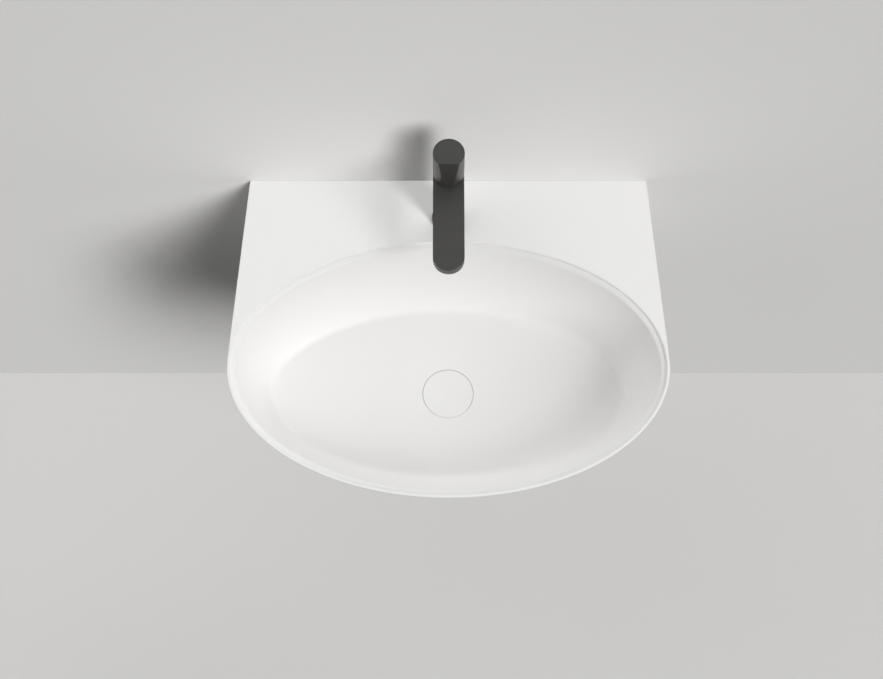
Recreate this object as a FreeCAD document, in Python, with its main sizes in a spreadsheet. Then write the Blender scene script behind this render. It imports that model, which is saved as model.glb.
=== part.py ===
import FreeCAD, Part
import math
import os
import re
import Sketcher
from FreeCAD import Vector

# Wall-hung washbasin with a deck-mounted mixer and a push-open waste.
# Frame: X to the right, Y into the wall, Z up.
# The origin lies on the wall face, midway between the two wall bolts.

DIMENSIONS = {
    # Basin casting, outside
    "basin_width": 600,
    "basin_depth": 460,
    "basin_height": 155,
    "back_inset": 20,
    "deck_depth": 90,
    "rim_above_bolts": 65,
    "outline_draft": 42,
    "edge_round": 1,
    "foot_edge_round": 4,
    # Bowl, from the rim down to the waste
    "rim_width": 5,
    "rim_step": 4,
    "ledge_width": 7,
    "ledge_fall": 2,
    "wall_run_side": 36,
    "wall_run_front": 48,
    "floor_fall": 10,
    "rim_round": 2,
    "ledge_round": 4,
    "foot_round": 12,
    # Thicknesses and the open hollow behind the bowl
    "deck_thickness": 20,
    "side_wall": 16,
    "back_wall": 22,
    "bowl_wall": 12,
    "drain_floor": 14,
    "underside_recess": 10,
    # Wall fixing
    "bolt_spacing": 280,
    "sleeve_diameter": 18,
    "sleeve_bore": 12,
    "sleeve_flange": 28,
    "sleeve_flange_thickness": 3,
    # Waste, cover and its lifting parts
    "cover_diameter": 72,
    "cover_gap": 0.5,
    "cover_thickness": 6,
    "cover_round": 0.8,
    "cover_seal_outer": 62,
    "cover_seal_inner": 44,
    "holder_diameter": 36,
    "holder_thickness": 2.5,
    "holder_boss": 14,
    "holder_boss_length": 4,
    "holder_roof": 1,
    "stem_diameter": 8,
    "stem_length": 24,
    "push_diameter": 18,
    "push_length": 22,
    "push_drop": 14,
    "push_bore_depth": 20,
    "push_spigot": 12,
    "push_spigot_length": 8,
    # Waste, fixed parts
    "drain_recess_depth": 13,
    "drain_seal_thickness": 2,
    "drain_seal_outer": 66,
    "drain_flange": 70,
    "drain_flange_thickness": 3,
    "drain_throat": 38,
    "drain_throat_lip": 2,
    "drain_sleeve": 45,
    "drain_sleeve_end": 58,
    "drain_hole": 46,
    "drain_boss": 96,
    "bridge_hub": 17,
    "bridge_height": 6,
    "bridge_arm": 3,
    "lower_seal_outer": 66,
    "lower_seal_foot": 58,
    "lower_seal_thickness": 6,
    "backnut_flats": 60,
    "backnut_thickness": 10,
    "tail_thread": 41.9,
    "tail_bore": 33,
    "tail_spigot_length": 7,
    "tail_seal_thickness": 1.5,
    "tail_collar_thickness": 5,
    "tail_length": 46,
    "tail_chamfer": 1.5,
    # Tap, outside
    "tap_diameter": 41,
    "tap_edge": 0.6,
    "spout_top": 142,
    "spout_reach": 138,
    "spout_root_thickness": 16,
    "spout_tip_thickness": 12,
    "base_ring_diameter": 45,
    "base_ring_height": 5,
    "base_ring_bore": 31,
    "base_ring_chamfer": 0.8,
    "base_seal_thickness": 1.5,
    "base_seal_margin": 1.5,
    "handle_height": 58,
    "handle_edge": 0.5,
    "facet_top_depth": 4.8,
    "facet_foot_depth": 0.2,
    "glide_ring_thickness": 0.8,
    "glide_ring_margin": 0.8,
    # Tap, inside
    "neck_diameter": 29,
    "neck_height": 26,
    "chamber_bore": 24,
    "chamber_depth": 50,
    "cartridge_seal_wire": 1.6,
    "cartridge_seal_ring": 7,
    "cartridge_length": 38,
    "cartridge_top_boss": 16,
    "cartridge_top_length": 9,
    "cartridge_nut_thickness": 8,
    "handle_hollow_diameter": 30.4,
    "handle_hollow_depth": 30,
    "tap_stem_journal": 10,
    "tap_stem_journal_depth": 10,
    "tap_stem_square": 8,
    "tap_stem_grip": 14,
    "grub_screw_diameter": 5,
    "grub_screw_length": 8,
    "waterway": 7,
    "waterway_drop": 6,
    "aerator_diameter": 22,
    "aerator_roof": 3,
    "aerator_seal_thickness": 1.5,
    "aerator_height": 7.5,
    "aerator_wall": 2.2,
    "aerator_lip": 1.2,
    "aerator_lip_height": 1.2,
    "aerator_insert_height": 5,
    "aerator_jet": 1.8,
    "aerator_jet_circle": 9,
    # Tap, fixing under the deck
    "tap_hole": 35,
    "shank_diameter": 30,
    "shank_bore": 24,
    "shank_engagement": 18,
    "shank_length_below_deck": 55,
    "inlet_block_height": 18,
    "inlet_seal_thickness": 1.5,
    "port_diameter": 9,
    "port_depth": 14,
    "port_offset": 6,
    "port_feed": 5,
    "clamp_diameter": 50,
    "clamp_seal_thickness": 3,
    "clamp_washer_thickness": 2,
    "clamp_nut_flats": 41,
    "clamp_nut_thickness": 10,
    # Clearances and the overrun of cuts
    "fit_gap": 0.1,
    "running_gap": 0.05,
    "seat_gap": 0.3,
    "overrun": 5,
}

doc = FreeCAD.newDocument("WallBasin")
sizes = doc.addObject("Spreadsheet::Sheet", "Sizes")
for row, (alias, amount) in enumerate(DIMENSIONS.items(), start=1):
    sizes.set(f"A{row}", alias)
    sizes.set(f"B{row}", str(amount))
    sizes.setAlias(f"B{row}", alias)
doc.recompute()

# The casting's main levels and plan follow from its outside sizes, so bowl and waste move with them
RIM = "rim_above_bolts"
UNDERSIDE = "rim_above_bolts - basin_height"
BACK_WIDTH = "(basin_width - 2 * back_inset)"
BOWL_CENTRE = "((basin_depth + deck_depth) / 2)"
BOWL_UP = f"-{BOWL_CENTRE}"
BOWL_DEPTH = "(basin_height - drain_floor - drain_recess_depth - floor_fall)"

# The casting stands at the wall, the waste at the bowl floor under its cover
AT_WALL = ("0", "0", "0")
AT_DRAIN = ("0", BOWL_UP, f"{UNDERSIDE} + drain_floor + drain_recess_depth")

# Two places in the casting count as one below this distance
SAME_PLACE = 0.001


def formula(text):
    """Write a sum of named sizes as an expression on the sheet."""
    return re.sub(r"[a-z_]+", lambda word: "Sizes." + word.group(), text)


def value(text):
    """The present amount of a sum of named sizes."""
    return float(sizes.evalExpression(formula(text)))


def new_body(label, place):
    body = doc.addObject("PartDesign::Body", label)
    for axis, text in zip("xyz", place):
        body.setExpression(f".Placement.Base.{axis}", formula(text))
    return body


def new_sketch(body, role, level="0"):
    """A sketch on one of the body's origin planes, raised along the plane's normal."""
    sketch = body.newObject("Sketcher::SketchObject", body.Label + "_sketch")
    plane = next(feature for feature in body.Origin.OriginFeatures if feature.Role == role)
    sketch.AttachmentSupport = (plane, [""])
    sketch.MapMode = "FlatFace"
    sketch.setExpression(".AttachmentOffset.Base.z", formula(level))
    return sketch


def dimension(sketch, constraint, text):
    index = sketch.addConstraint(constraint)
    sketch.setExpression(f"Constraints[{index}]", formula(text))


def pin_point(sketch, edge, end, across, up):
    """Hold a point of the sketch at its place from the sketch's origin."""
    for kind, axis, text in (("DistanceX", -2, across), ("DistanceY", -1, up)):
        amount = value(text)
        if amount == 0:
            sketch.addConstraint(Sketcher.Constraint("PointOnObject", edge, end, axis))
        else:
            dimension(sketch, Sketcher.Constraint(kind, -1, 1, edge, end, amount), text)


def draw_polygon(sketch, corners):
    places = [Vector(value(across), value(up), 0) for across, up in corners]
    lines = []
    for start, end in zip(places, places[1:] + places[:1]):
        lines.append(sketch.addGeometry(Part.LineSegment(start, end)))
    for line, following in zip(lines, lines[1:] + lines[:1]):
        sketch.addConstraint(Sketcher.Constraint("Coincident", line, 2, following, 1))
    for line, (across, up) in zip(lines, corners):
        pin_point(sketch, line, 1, across, up)


def draw_circle(sketch, diameter, across="0", up="0"):
    centre = Vector(value(across), value(up), 0)
    circle = sketch.addGeometry(Part.Circle(centre, Vector(0, 0, 1), value(diameter) / 2))
    pin_point(sketch, circle, 3, across, up)
    dimension(sketch, Sketcher.Constraint("Diameter", circle, value(diameter)), diameter)


def size_ellipse(sketch, curve, length, breadth, up):
    """Hold an ellipse, or an arc of one, by its centre on the upright axis and its two axes."""
    first_axis = sketch.GeometryCount
    sketch.exposeInternalGeometry(curve)
    sketch.addConstraint(Sketcher.Constraint("PointOnObject", curve, 3, -2))
    sketch.addConstraint(Sketcher.Constraint("Horizontal", first_axis))
    dimension(sketch, Sketcher.Constraint("DistanceY", -1, 1, curve, 3, value(up)), up)
    dimension(sketch, Sketcher.Constraint("Distance", first_axis, value(length)), length)
    dimension(sketch, Sketcher.Constraint("Distance", first_axis + 1, value(breadth)), breadth)


def ellipse_curve(length, breadth, up):
    centre = Vector(0, value(up), 0)
    side = centre + Vector(value(length) / 2, 0, 0)
    top = centre + Vector(0, value(breadth) / 2, 0)
    return Part.Ellipse(side, top, centre)


def draw_ellipse(sketch, length, breadth, up):
    curve = sketch.addGeometry(ellipse_curve(length, breadth, up))
    size_ellipse(sketch, curve, length, breadth, up)


def draw_basin_plan(sketch, length, breadth, up, back):
    """Straight back and sides, the sides tangent to the front's ellipse; the back overruns the wall."""
    half_back = value(back) / 2
    half_length = value(length) / 2
    half_breadth = value(breadth) / 2
    back_up = value("overrun")
    corner_x = half_back / half_length
    corner_y = (back_up - value(up)) / half_breadth
    touch = math.atan2(corner_y, corner_x) - math.acos(1 / math.hypot(corner_x, corner_y))
    touch_right = Vector(half_length * math.cos(touch), value(up) + half_breadth * math.sin(touch), 0)
    touch_left = Vector(-touch_right.x, touch_right.y, 0)
    back_left = Vector(-half_back, back_up, 0)
    back_right = Vector(half_back, back_up, 0)
    back_line = sketch.addGeometry(Part.LineSegment(back_left, back_right))
    right_line = sketch.addGeometry(Part.LineSegment(back_right, touch_right))
    front = Part.ArcOfEllipse(ellipse_curve(length, breadth, up), math.pi - touch, 2 * math.pi + touch)
    front_arc = sketch.addGeometry(front)
    left_line = sketch.addGeometry(Part.LineSegment(touch_left, back_left))
    sketch.addConstraint(Sketcher.Constraint("Coincident", back_line, 2, right_line, 1))
    sketch.addConstraint(Sketcher.Constraint("Coincident", left_line, 2, back_line, 1))
    sketch.addConstraint(Sketcher.Constraint("Tangent", right_line, 2, front_arc, 2))
    sketch.addConstraint(Sketcher.Constraint("Tangent", front_arc, 1, left_line, 1))
    sketch.addConstraint(Sketcher.Constraint("Symmetric", back_line, 1, back_line, 2, -2))
    dimension(sketch, Sketcher.Constraint("Distance", back_line, value(back)), back)
    dimension(sketch, Sketcher.Constraint("DistanceY", -1, 1, back_line, 1, back_up), "overrun")
    size_ellipse(sketch, front_arc, length, breadth, up)


def extrude(body, kind, sketch, length, backwards=False):
    """A pad or pocket of the sketch; backwards turns it to the other side of the sketch plane."""
    feature = body.newObject("PartDesign::" + kind, body.Label + "_" + kind)
    feature.Profile = sketch
    feature.setExpression("Length", formula(length))
    feature.Reversed = backwards
    doc.recompute()
    return feature


def cut_both_ways(body, sketch):
    feature = body.newObject("PartDesign::Pocket", body.Label + "_cut")
    feature.Profile = sketch
    feature.Type = "ThroughAll"
    feature.SideType = "Symmetric"
    doc.recompute()


def loft(body, kind, sketches):
    feature = body.newObject("PartDesign::" + kind, body.Label + "_" + kind)
    feature.Profile = sketches[0]
    feature.Sections = sketches[1:]
    feature.Ruled = True
    doc.recompute()


def dress(body, kind, chosen, amount):
    """Round or bevel the edges that the test picks out of the body's present shape."""
    base = body.Tip
    names = [f"Edge{index}" for index, edge in enumerate(base.Shape.Edges, start=1) if chosen(edge)]
    feature = body.newObject("PartDesign::" + kind, body.Label + "_" + kind)
    feature.Base = (base, names)
    feature.setExpression("Radius" if kind == "Fillet" else "Size", formula(amount))
    doc.recompute()


def lies_at(edge, level):
    box = edge.BoundBox
    return box.ZLength < SAME_PLACE and abs(box.ZMin - value(level)) < SAME_PLACE


def lies_on_wall(edge):
    box = edge.BoundBox
    return box.YLength < SAME_PLACE and abs(box.YMax) < SAME_PLACE


def turned(label, place, corners):
    """A piece turned or moulded round its own upright axis, from radius and height of each corner."""
    body = new_body(label, place)
    sketch = new_sketch(body, "XZ_Plane")
    draw_polygon(sketch, corners)
    feature = body.newObject("PartDesign::Revolution", label + "_turning")
    feature.Profile = sketch
    feature.ReferenceAxis = (sketch, ["V_Axis"])
    doc.recompute()
    return body


def ring(label, place, outer, inner, low, high):
    """A plain ring between two heights."""
    corners = [
        (f"({inner}) / 2", low),
        (f"({outer}) / 2", low),
        (f"({outer}) / 2", high),
        (f"({inner}) / 2", high),
    ]
    return turned(label, place, corners)


HEXAGON_SIDE_SHARE = 1 / math.sqrt(3)


def hexagon_nut(label, place, flats, bore, low, thickness):
    body = new_body(label, place)
    sketch = new_sketch(body, "XY_Plane", low)
    reach = f"({flats}) * {HEXAGON_SIDE_SHARE / 2}"
    half = f"({flats}) / 2"
    draw_polygon(sketch, [
        (half, reach),
        ("0", f"2 * ({reach})"),
        (f"-({half})", reach),
        (f"-({half})", f"-({reach})"),
        ("0", f"-2 * ({reach})"),
        (half, f"-({reach})"),
    ])
    draw_circle(sketch, bore)
    extrude(body, "Pad", sketch, thickness)
    return body


# Basin casting: outer form, hollow behind the bowl, bowl, then the holes
FRONT_BREADTH = "(basin_depth - deck_depth)"
DRAIN_OPENING = "cover_diameter + 2 * cover_gap"
LEDGE_DEPTH = "(rim_step + ledge_fall)"
LEDGE_LENGTH = "basin_width - 2 * (rim_width + ledge_width)"
LEDGE_BREADTH = f"{FRONT_BREADTH} - 2 * (rim_width + ledge_width)"


def shell_ellipse(depth):
    """The bowl's outside at a depth under the rim, as length and breadth: the bowl's slope, one wall out."""
    way = f"({depth} - {LEDGE_DEPTH}) / ({BOWL_DEPTH} - {LEDGE_DEPTH})"
    length = f"{LEDGE_LENGTH} + 2 * bowl_wall - 2 * wall_run_side * {way}"
    breadth = f"{LEDGE_BREADTH} + 2 * bowl_wall - 2 * wall_run_front * {way}"
    return length, breadth


# The tap stands midway in the hollow, between the back wall and the bowl's outside under the deck
SHELL_BREADTH_AT_DECK = shell_ellipse("deck_thickness")[1]
TAP_FROM_WALL = f"((back_wall + {BOWL_CENTRE} - ({SHELL_BREADTH_AT_DECK}) / 2) / 2)"
AT_TAP = ("0", f"-{TAP_FROM_WALL}", RIM)


def hollow_plan(sketch, depth):
    """Four-sided plan of the hollow at a depth under the rim, one wall inside the outer form."""
    inward = f"side_wall + outline_draft * ({depth}) / basin_height"
    back_half = f"{BACK_WIDTH} / 2 - ({inward})"
    front_half = f"basin_width / 2 - ({inward})"
    draw_polygon(sketch, [
        (f"-({back_half})", "-back_wall"),
        (back_half, "-back_wall"),
        (front_half, BOWL_UP),
        (f"-({front_half})", BOWL_UP),
    ])


def make_service_hollow():
    """The space behind the bowl, open below, where the tap and the wall bolts are tightened."""
    body = new_body("service_hollow", AT_WALL)
    plans = []
    for depth in ("deck_thickness", "(basin_height + overrun)"):
        sketch = new_sketch(body, "XY_Plane", f"{RIM} - {depth}")
        hollow_plan(sketch, depth)
        plans.append(sketch)
    loft(body, "AdditiveLoft", plans)
    shells = []
    for depth in (LEDGE_DEPTH, "(basin_height + 2 * overrun)"):
        sketch = new_sketch(body, "XY_Plane", f"{RIM} - {depth}")
        length, breadth = shell_ellipse(depth)
        draw_ellipse(sketch, length, breadth, BOWL_UP)
        shells.append(sketch)
    loft(body, "SubtractiveLoft", shells)
    return body


def make_basin():
    hollow = make_service_hollow()
    body = new_body("basin_body", AT_WALL)
    plan_top = new_sketch(body, "XY_Plane", RIM)
    draw_basin_plan(plan_top, "basin_width", FRONT_BREADTH, BOWL_UP, BACK_WIDTH)
    plan_foot = new_sketch(body, "XY_Plane", UNDERSIDE)
    draw_basin_plan(
        plan_foot,
        "basin_width - 2 * outline_draft",
        f"{FRONT_BREADTH} - 2 * outline_draft",
        BOWL_UP,
        f"{BACK_WIDTH} - 2 * outline_draft",
    )
    loft(body, "AdditiveLoft", [plan_top, plan_foot])
    wall_trim = new_sketch(body, "XZ_Plane")
    draw_polygon(wall_trim, [
        ("-basin_width", f"{UNDERSIDE} - overrun"),
        ("basin_width", f"{UNDERSIDE} - overrun"),
        ("basin_width", f"{RIM} + overrun"),
        ("-basin_width", f"{RIM} + overrun"),
    ])
    extrude(body, "Pocket", wall_trim, "2 * overrun")

    def borders_underside(edge):
        return lies_at(edge, UNDERSIDE) and not lies_on_wall(edge)

    dress(body, "Fillet", borders_underside, "foot_edge_round")

    hollow_cut = body.newObject("PartDesign::Boolean", "hollow_cut")
    hollow_cut.setObjects([hollow])
    hollow_cut.Type = "Cut"
    doc.recompute()

    rim_opening = ("basin_width - 2 * rim_width", f"{FRONT_BREADTH} - 2 * rim_width")
    foot_opening = (f"{LEDGE_LENGTH} - 2 * wall_run_side", f"{LEDGE_BREADTH} - 2 * wall_run_front")
    bowl_sections = []
    for level, (length, breadth) in (
        (f"{RIM} + overrun", rim_opening),
        (f"{RIM} - rim_step", rim_opening),
        (f"{RIM} - {LEDGE_DEPTH}", (LEDGE_LENGTH, LEDGE_BREADTH)),
        (f"{RIM} - {BOWL_DEPTH}", foot_opening),
    ):
        sketch = new_sketch(body, "XY_Plane", level)
        draw_ellipse(sketch, length, breadth, BOWL_UP)
        bowl_sections.append(sketch)
    for level in ("", " - drain_recess_depth"):
        sketch = new_sketch(body, "XY_Plane", f"{AT_DRAIN[2]}{level}")
        draw_circle(sketch, DRAIN_OPENING, "0", BOWL_UP)
        bowl_sections.append(sketch)
    loft(body, "SubtractiveLoft", bowl_sections)

    opening_length = value(rim_opening[0])

    def borders_bowl(edge):
        return lies_at(edge, RIM) and abs(edge.BoundBox.XLength - opening_length) < SAME_PLACE

    def borders_outline(edge):
        return lies_at(edge, RIM) and not borders_bowl(edge) and not lies_on_wall(edge)

    dress(body, "Fillet", borders_outline, "edge_round")
    dress(body, "Fillet", borders_bowl, "rim_round")
    dress(body, "Fillet", lambda edge: lies_at(edge, f"{RIM} - {LEDGE_DEPTH}"), "ledge_round")
    dress(body, "Fillet", lambda edge: lies_at(edge, f"{RIM} - {BOWL_DEPTH}"), "foot_round")

    underside = new_sketch(body, "XY_Plane", UNDERSIDE)
    shell_length, shell_breadth = shell_ellipse("basin_height")
    draw_ellipse(underside, f"{shell_length} - 2 * bowl_wall", f"{shell_breadth} - 2 * bowl_wall", BOWL_UP)
    draw_circle(underside, "drain_boss", "0", BOWL_UP)
    extrude(body, "Pocket", underside, "underside_recess", backwards=True)

    drain_hole = new_sketch(body, "XY_Plane", f"{AT_DRAIN[2]} - drain_recess_depth")
    draw_circle(drain_hole, "drain_hole", "0", BOWL_UP)
    extrude(body, "Pocket", drain_hole, "basin_height")

    tap_hole = new_sketch(body, "XY_Plane", RIM)
    draw_circle(tap_hole, "tap_hole", "0", AT_TAP[1])
    extrude(body, "Pocket", tap_hole, "deck_thickness + overrun")

    bolt_holes = new_sketch(body, "XZ_Plane")
    draw_circle(bolt_holes, "sleeve_diameter", "-bolt_spacing / 2")
    draw_circle(bolt_holes, "sleeve_diameter", "bolt_spacing / 2")
    extrude(body, "Pocket", bolt_holes, "back_wall + overrun", backwards=True)
    return body


def make_wall_sleeves():
    """Flanged plastic sleeves that keep the wall bolts off the casting, their flanges inside the hollow."""
    sleeves = []
    for side, across in (("left", "-bolt_spacing / 2"), ("right", "bolt_spacing / 2")):
        tube = "sleeve_diameter / 2 - fit_gap"
        sleeve = turned(f"wall_sleeve_{side}", (across, "0", "0"), [
            ("sleeve_bore / 2", "0"),
            (tube, "0"),
            (tube, "back_wall"),
            ("sleeve_flange / 2", "back_wall"),
            ("sleeve_flange / 2", "back_wall + sleeve_flange_thickness"),
            ("sleeve_bore / 2", "back_wall + sleeve_flange_thickness"),
        ])
        sleeve.Placement.Rotation = FreeCAD.Rotation(Vector(1, 0, 0), 90)
        sleeves.append(sleeve)
    pair = doc.addObject("Part::Compound", "wall_sleeves")
    pair.Links = sleeves
    return pair


# Waste: heights are counted from the bowl floor at the cover
COVER_FOOT = "-cover_thickness"
FLANGE_FOOT = "-drain_recess_depth + drain_seal_thickness"
FLANGE_TOP = f"{FLANGE_FOOT} + drain_flange_thickness"
HOLDER_FOOT = f"{COVER_FOOT} - holder_thickness"
HOLDER_BOSS_FOOT = f"{HOLDER_FOOT} - holder_boss_length"
STEM_TOP = f"{COVER_FOOT} - holder_roof"
PUSH_TOP = "-push_drop"
PUSH_FOOT = "-push_drop - push_length"
BASIN_FOOT = "-drain_recess_depth - drain_floor"
SLEEVE_FOOT = "-drain_sleeve_end"
BRIDGE_ARMS = 3


def make_drain_cover():
    rim = "cover_diameter / 2"
    return turned("drain_cover", AT_DRAIN, [
        ("0", COVER_FOOT),
        (rim, COVER_FOOT),
        (rim, "-cover_round"),
        (f"{rim} - cover_round", "0"),
        ("0", "0"),
    ])


def make_drain_cover_seal():
    return ring("drain_cover_seal", AT_DRAIN, "cover_seal_outer", "cover_seal_inner",
                f"{FLANGE_TOP} + seat_gap", COVER_FOOT)


def make_drain_cover_holder():
    """Holder glued under the cover, with a blind boss for the stem."""
    bore = "stem_diameter / 2 + fit_gap"
    return turned("drain_cover_holder", AT_DRAIN, [
        (bore, HOLDER_BOSS_FOOT),
        ("holder_boss / 2", HOLDER_BOSS_FOOT),
        ("holder_boss / 2", HOLDER_FOOT),
        ("holder_diameter / 2", HOLDER_FOOT),
        ("holder_diameter / 2", COVER_FOOT),
        ("0", COVER_FOOT),
        ("0", STEM_TOP),
        (bore, STEM_TOP),
    ])


def make_drain_stem():
    return turned("drain_stem", AT_DRAIN, [
        ("0", f"{STEM_TOP} - stem_length"),
        ("stem_diameter / 2", f"{STEM_TOP} - stem_length"),
        ("stem_diameter / 2", STEM_TOP),
        ("0", STEM_TOP),
    ])


def make_drain_push_cartridge():
    """Closed push-push housing on a threaded spigot, bored for the stem."""
    bore = "stem_diameter / 2 + running_gap"
    spigot = "push_spigot / 2 - fit_gap"
    return turned("drain_push_cartridge", AT_DRAIN, [
        ("0", f"{PUSH_FOOT} - push_spigot_length"),
        (spigot, f"{PUSH_FOOT} - push_spigot_length"),
        (spigot, PUSH_FOOT),
        ("push_diameter / 2", PUSH_FOOT),
        ("push_diameter / 2", PUSH_TOP),
        (bore, PUSH_TOP),
        (bore, f"{PUSH_TOP} - push_bore_depth"),
        ("0", f"{PUSH_TOP} - push_bore_depth"),
    ])


def make_drain_body():
    """Flange and sleeve in one turning, with a three-armed bridge that carries the push cartridge."""
    body = turned("drain_body", AT_DRAIN, [
        ("drain_throat / 2", SLEEVE_FOOT),
        ("drain_sleeve / 2", SLEEVE_FOOT),
        ("drain_sleeve / 2", FLANGE_FOOT),
        ("drain_flange / 2", FLANGE_FOOT),
        ("drain_flange / 2", FLANGE_TOP),
        ("drain_throat / 2 + drain_throat_lip", FLANGE_TOP),
        ("drain_throat / 2", f"{FLANGE_TOP} - drain_throat_lip"),
    ])
    arm_sketch = new_sketch(body, "XY_Plane", PUSH_FOOT)
    arm_end = "(drain_throat + drain_sleeve) / 4"
    draw_polygon(arm_sketch, [
        ("0", "-bridge_arm / 2"),
        (arm_end, "-bridge_arm / 2"),
        (arm_end, "bridge_arm / 2"),
        ("0", "bridge_arm / 2"),
    ])
    arm = extrude(body, "Pad", arm_sketch, "bridge_height", backwards=True)
    arms = body.newObject("PartDesign::PolarPattern", "bridge_arms")
    arms.Originals = [arm]
    arms.Axis = (arm_sketch, ["N_Axis"])
    arms.Occurrences = BRIDGE_ARMS
    body.Tip = arms
    doc.recompute()
    hub_sketch = new_sketch(body, "XY_Plane", PUSH_FOOT)
    draw_circle(hub_sketch, "bridge_hub")
    extrude(body, "Pad", hub_sketch, "bridge_height", backwards=True)
    bore_sketch = new_sketch(body, "XY_Plane", PUSH_FOOT)
    draw_circle(bore_sketch, "push_spigot")
    extrude(body, "Pocket", bore_sketch, "bridge_height")
    return body


def make_drain_top_seal():
    return ring("drain_top_seal", AT_DRAIN, "drain_seal_outer", "drain_hole",
                "-drain_recess_depth", FLANGE_FOOT)


def make_drain_lower_seal():
    """Thick rubber seal that tapers down to the nut."""
    bore = "drain_sleeve / 2 + fit_gap"
    foot = f"{BASIN_FOOT} - lower_seal_thickness"
    return turned("drain_lower_seal", AT_DRAIN, [
        (bore, foot),
        ("lower_seal_foot / 2", foot),
        ("lower_seal_outer / 2", BASIN_FOOT),
        (bore, BASIN_FOOT),
    ])


def make_drain_backnut():
    foot = f"{BASIN_FOOT} - lower_seal_thickness - backnut_thickness"
    return hexagon_nut("drain_backnut", AT_DRAIN, "backnut_flats", "drain_sleeve + 2 * fit_gap",
                       foot, "backnut_thickness")


def make_drain_tail_seal():
    return ring("drain_tail_seal", AT_DRAIN, "drain_sleeve", "drain_throat",
                f"{SLEEVE_FOOT} - tail_seal_thickness", SLEEVE_FOOT)


def make_drain_tail():
    """Outlet tail: a spigot in the sleeve, a collar against the seal, and the thread for the trap."""
    spigot = "drain_throat / 2 - fit_gap"
    collar_top = f"{SLEEVE_FOOT} - tail_seal_thickness"
    collar_foot = f"{collar_top} - tail_collar_thickness"
    foot = f"{collar_foot} - tail_length"
    return turned("drain_tail", AT_DRAIN, [
        ("tail_bore / 2", foot),
        ("tail_thread / 2 - tail_chamfer", foot),
        ("tail_thread / 2", f"{foot} + tail_chamfer"),
        ("tail_thread / 2", collar_foot),
        ("drain_sleeve / 2", collar_foot),
        ("drain_sleeve / 2", collar_top),
        (spigot, collar_top),
        (spigot, f"{SLEEVE_FOOT} + tail_spigot_length"),
        ("tail_bore / 2", f"{SLEEVE_FOOT} + tail_spigot_length"),
    ])


# Tap: heights are counted from the deck
COLUMN_FOOT = "base_seal_thickness + base_ring_height"
SPOUT_FOOT = "spout_top - spout_root_thickness"
TIP_CENTRE = "-spout_reach + tap_diameter / 2"
SHANK_TOP = f"{COLUMN_FOOT} + shank_engagement"
INLET_BLOCK_TOP = f"{SHANK_TOP} + inlet_block_height"
SOCKET_ROOF = f"{INLET_BLOCK_TOP} + inlet_seal_thickness"
NECK_TOP = "spout_top + neck_height"
CHAMBER_FLOOR = f"{NECK_TOP} - chamber_depth"
CARTRIDGE_FOOT = f"{CHAMBER_FLOOR} + cartridge_seal_wire"
CARTRIDGE_SHOULDER = f"{CARTRIDGE_FOOT} + cartridge_length"
CARTRIDGE_TOP = f"{CARTRIDGE_SHOULDER} + cartridge_top_length"
HANDLE_FOOT = "spout_top + glide_ring_thickness + seat_gap"
HANDLE_TOP = f"{HANDLE_FOOT} + handle_height"
HANDLE_ROOF = f"{HANDLE_FOOT} + handle_hollow_depth"
AERATOR_ROOF = "spout_top - aerator_roof"
AERATOR_SEAT = f"{AERATOR_ROOF} - aerator_seal_thickness"
AERATOR_FOOT = f"{AERATOR_SEAT} - aerator_height"
AT_AERATOR = ("0", f"{AT_TAP[1]} + ({TIP_CENTRE})", RIM)
AERATOR_JETS = 8


def draw_spout_plan(sketch):
    """Two straight sides joined by half circles round the tap's axis and the spout's end."""
    radius = value("tap_diameter / 2")
    end = value(TIP_CENTRE)
    up = Vector(0, 0, 1)
    right = sketch.addGeometry(Part.LineSegment(Vector(radius, end, 0), Vector(radius, 0, 0)))
    root_circle = Part.Circle(Vector(0, 0, 0), up, radius)
    root = sketch.addGeometry(Part.ArcOfCircle(root_circle, 0, math.pi))
    left = sketch.addGeometry(Part.LineSegment(Vector(-radius, 0, 0), Vector(-radius, end, 0)))
    tip_circle = Part.Circle(Vector(0, end, 0), up, radius)
    tip = sketch.addGeometry(Part.ArcOfCircle(tip_circle, math.pi, 2 * math.pi))
    for first, second in ((right, root), (root, left), (left, tip), (tip, right)):
        sketch.addConstraint(Sketcher.Constraint("Tangent", first, 2, second, 1))
    sketch.addConstraint(Sketcher.Constraint("Equal", root, tip))
    pin_point(sketch, root, 3, "0", "0")
    pin_point(sketch, tip, 3, "0", TIP_CENTRE)
    dimension(sketch, Sketcher.Constraint("Radius", root, radius), "tap_diameter / 2")


def bore_pair(body, diameter, level, length):
    """The hot and the cold bore, side by side, upwards from a level."""
    bores = new_sketch(body, "XY_Plane", level)
    draw_circle(bores, diameter, "-port_offset")
    draw_circle(bores, diameter, "port_offset")
    extrude(body, "Pocket", bores, length, backwards=True)


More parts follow.
